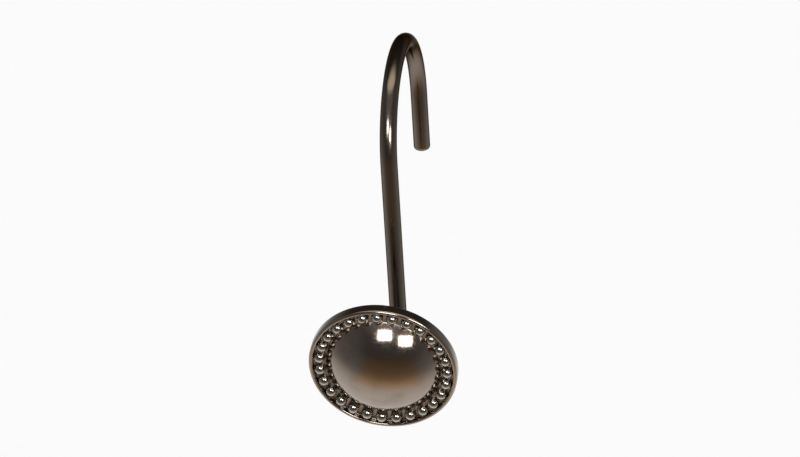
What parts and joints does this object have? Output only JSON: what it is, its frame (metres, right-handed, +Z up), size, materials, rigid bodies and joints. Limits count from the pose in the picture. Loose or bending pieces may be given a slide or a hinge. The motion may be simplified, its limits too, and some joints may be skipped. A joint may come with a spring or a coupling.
{
  "type": "shower curtain hook",
  "caption": "S-bent wire shower curtain hook in dark polished bronze, with a round domed medallion ringed by small beads",
  "frame": {"origin": "on the axis of the rod that the hook hangs on, in the plane of the wire's bends", "axes": "+X along the rod, -Y to the front where the medallion faces into the room, +Z up; the hook is as it hangs, with its shank leaning back and its medallion facing forward and down"},
  "size_m": [0.026, 0.0432, 0.069],
  "materials": {
    "plated_wire": "polished dark bronze plating on round steel wire",
    "plated_casting": "polished dark bronze plating on die-cast zinc, darker in the grooves between the beads"
  },
  "bodies": {
    "root": {"hook_wire": "plated_wire", "medallion": "plated_casting"}
  },
  "joints": []
}
